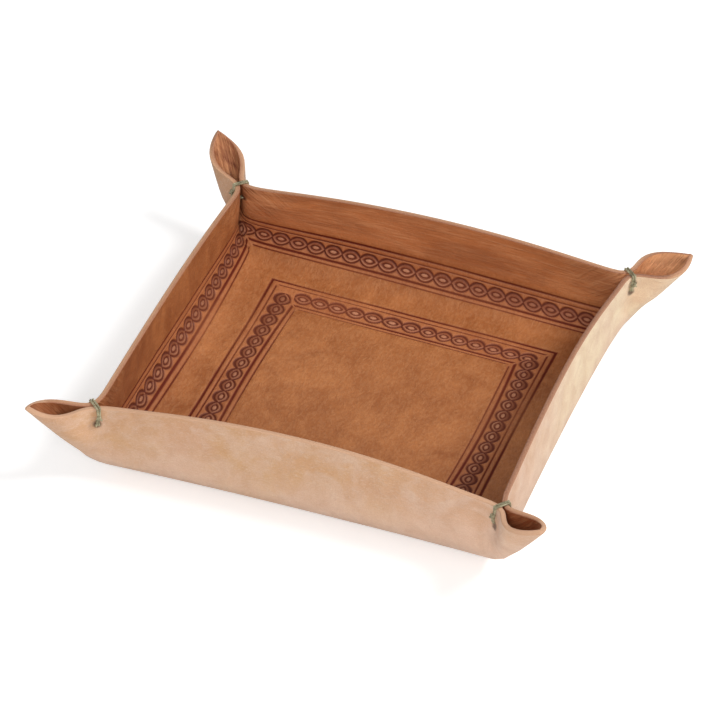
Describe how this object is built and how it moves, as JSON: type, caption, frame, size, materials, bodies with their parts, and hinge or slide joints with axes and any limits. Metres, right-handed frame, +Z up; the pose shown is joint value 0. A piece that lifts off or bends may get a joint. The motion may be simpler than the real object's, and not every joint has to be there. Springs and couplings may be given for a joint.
{
  "type": "valet tray",
  "caption": "Square catch-all tray folded from one sheet of tooled leather, its corners pinched and tied with waxed cord.",
  "frame": {"origin": "middle of the flat base, on the surface that the tray stands on", "axes": "+Z up, +X towards the right wall and +Y towards the back wall of the picture"},
  "size_m": [0.252, 0.2473, 0.0511],
  "materials": {
    "leather": "smooth vegetable-tanned grain inside, pale suede outside, tooled border lines",
    "waxed_cord": "olive grey waxed cord with a dull sheen"
  },
  "bodies": {
    "root": {"leather_tray": "leather", "tie_front_left": "waxed_cord", "tie_front_right": "waxed_cord", "tie_back_left": "waxed_cord", "tie_back_right": "waxed_cord"}
  },
  "joints": []
}
